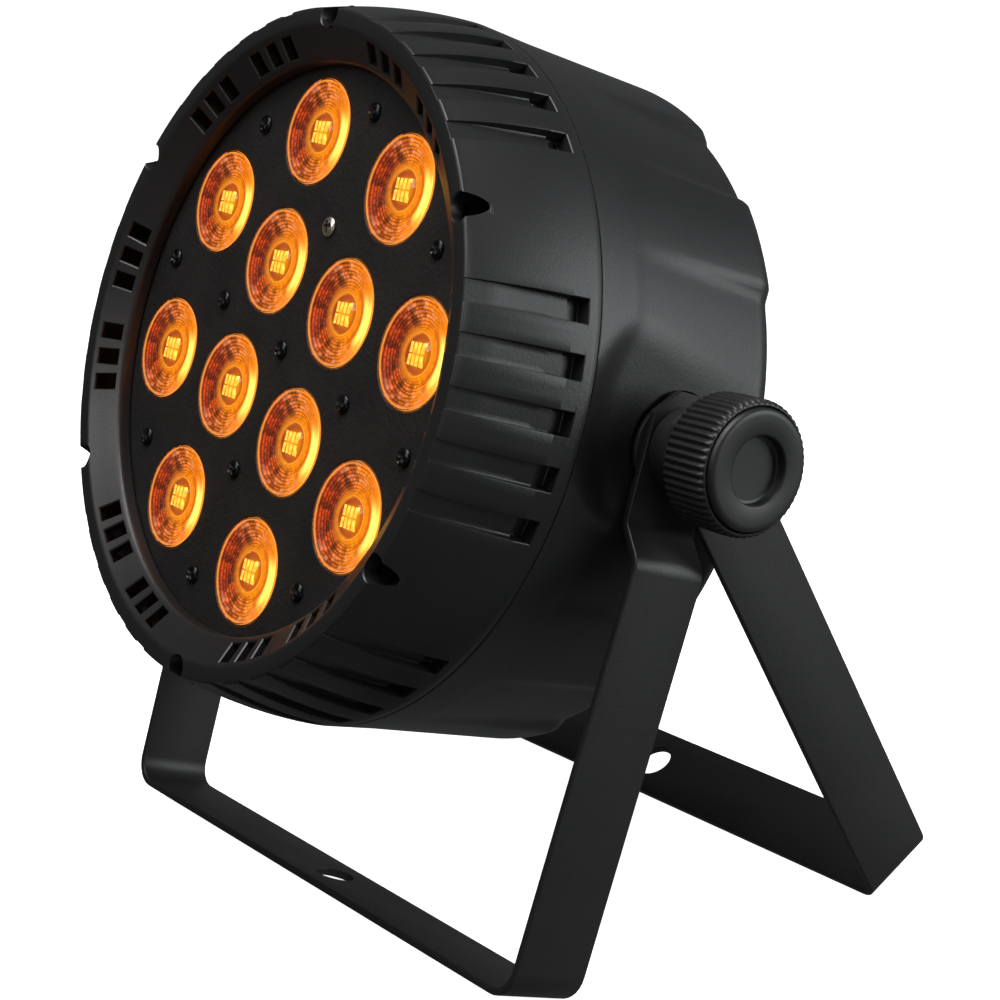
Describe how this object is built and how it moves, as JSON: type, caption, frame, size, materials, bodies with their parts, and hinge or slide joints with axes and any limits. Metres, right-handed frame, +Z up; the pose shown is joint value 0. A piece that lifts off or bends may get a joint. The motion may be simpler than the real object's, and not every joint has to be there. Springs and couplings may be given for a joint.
{
  "type": "stage par can light",
  "caption": "Round LED stage light with domed lenses in a vented head that tilts on knobs between two folding U-shaped yokes.",
  "frame": {"origin": "bottom centre of the bounding box: the plane both yoke crossbars stand on, midway between the knob faces and midway front to back", "axes": "+Z up, +X along the tilt axis towards the right-hand knob, -Y the way the lenses face"},
  "size_m": [0.2926, 0.2048, 0.2911],
  "materials": {
    "body_plastic": "satin",
    "painted_plate": "matt fine texture",
    "painted_yoke": "satin fine texture",
    "knob_plastic": "satin",
    "button_plastic": "satin",
    "lens_amber": "clear, lit amber",
    "screw_black": "black oxide",
    "screw_nickel": "nickel plated",
    "board_white": "white solder mask",
    "board_green": "green solder mask",
    "fin_aluminium": "extruded",
    "zinc_steel": "zinc plated",
    "washer_rubber": "matt",
    "window": "smoked, clear",
    "socket_metal": "satin nickel",
    "socket_blue": "satin",
    "socket_grey": "satin"
  },
  "bodies": {
    "head": {"front_bezel": "body_plastic", "face_plate": "painted_plate", "lens_01": "lens_amber", "lens_02": "lens_amber", "lens_03": "lens_amber", "lens_04": "lens_amber", "lens_05": "lens_amber", "lens_06": "lens_amber", "lens_07": "lens_amber", "lens_08": "lens_amber", "lens_09": "lens_amber", "lens_10": "lens_amber", "lens_11": "lens_amber", "lens_12": "lens_amber", "plate_screw_01": "screw_black", "plate_screw_02": "screw_nickel", "plate_screw_03": "screw_black", "plate_screw_04": "screw_black", "plate_screw_05": "screw_black", "plate_screw_06": "screw_black", "plate_screw_07": "screw_black", "plate_screw_08": "screw_black", "plate_screw_09": "screw_black", "plate_screw_10": "screw_black", "plate_screw_11": "screw_black", "plate_screw_12": "screw_black", "plate_screw_13": "screw_black", "bezel_screw_1": "screw_black", "bezel_screw_2": "screw_black", "bezel_screw_3": "screw_black", "bezel_screw_4": "screw_black", "bezel_screw_5": "screw_black", "bezel_screw_6": "screw_black", "led_board": "board_white", "heat_sink": "fin_aluminium", "fan_frame": "body_plastic", "power_board": "board_green", "control_board": "board_green", "rear_housing": "body_plastic", "rear_panel": "painted_plate", "display_window": "window", "dmx_in": "socket_metal", "dmx_out": "socket_metal", "power_in": "socket_blue", "power_out": "socket_grey", "pivot_stud_right": "zinc_steel", "pivot_stud_left": "zinc_steel", "friction_washer_right": "washer_rubber", "friction_washer_left": "washer_rubber", "spacer_right": "knob_plastic", "spacer_left": "knob_plastic"},
    "fan": {"fan_rotor": "body_plastic"},
    "right_knob": {"knob_right": "knob_plastic"},
    "left_knob": {"knob_left": "knob_plastic"},
    "front_support": {"front_yoke": "painted_yoke"},
    "rear_support": {"rear_yoke": "painted_yoke"},
    "button_1_body": {"button_1": "button_plastic"},
    "button_2_body": {"button_2": "button_plastic"},
    "button_3_body": {"button_3": "button_plastic"},
    "button_4_body": {"button_4": "button_plastic"}
  },
  "joints": [
    {"name": "front_yoke_swing", "type": "hinge", "parent": "head", "child": "front_support", "pos_m": [0, 0.01222, 0.16268], "axis": [1, 0, 0], "continuous": true},
    {"name": "rear_yoke_swing", "type": "hinge", "parent": "head", "child": "rear_support", "pos_m": [0, 0.01222, 0.16268], "axis": [1, 0, 0], "continuous": true},
    {"name": "right_knob_turn", "type": "hinge", "parent": "head", "child": "right_knob", "pos_m": [0.136, 0.01222, 0.16268], "axis": [1, 0, 0], "range_deg": [0, 360]},
    {"name": "left_knob_turn", "type": "hinge", "parent": "head", "child": "left_knob", "pos_m": [-0.136, 0.01222, 0.16268], "axis": [-1, 0, 0], "range_deg": [0, 360]},
    {"name": "fan_spin", "type": "hinge", "parent": "head", "child": "fan", "pos_m": [0, 0.001, 0.16694], "axis": [0, -0.9348, 0.3551], "continuous": true},
    {"name": "button_1_press", "type": "slide", "parent": "head", "child": "button_1_body", "axis": [0, -0.9348, 0.3551], "range_m": [0, 0.0008], "stiffness_N_per_m": 400, "springref_m": -0.0004},
    {"name": "button_2_press", "type": "slide", "parent": "head", "child": "button_2_body", "axis": [0, -0.9348, 0.3551], "range_m": [0, 0.0008], "stiffness_N_per_m": 400, "springref_m": -0.0004},
    {"name": "button_3_press", "type": "slide", "parent": "head", "child": "button_3_body", "axis": [0, -0.9348, 0.3551], "range_m": [0, 0.0008], "stiffness_N_per_m": 400, "springref_m": -0.0004},
    {"name": "button_4_press", "type": "slide", "parent": "head", "child": "button_4_body", "axis": [0, -0.9348, 0.3551], "range_m": [0, 0.0008], "stiffness_N_per_m": 400, "springref_m": -0.0004}
  ]
}
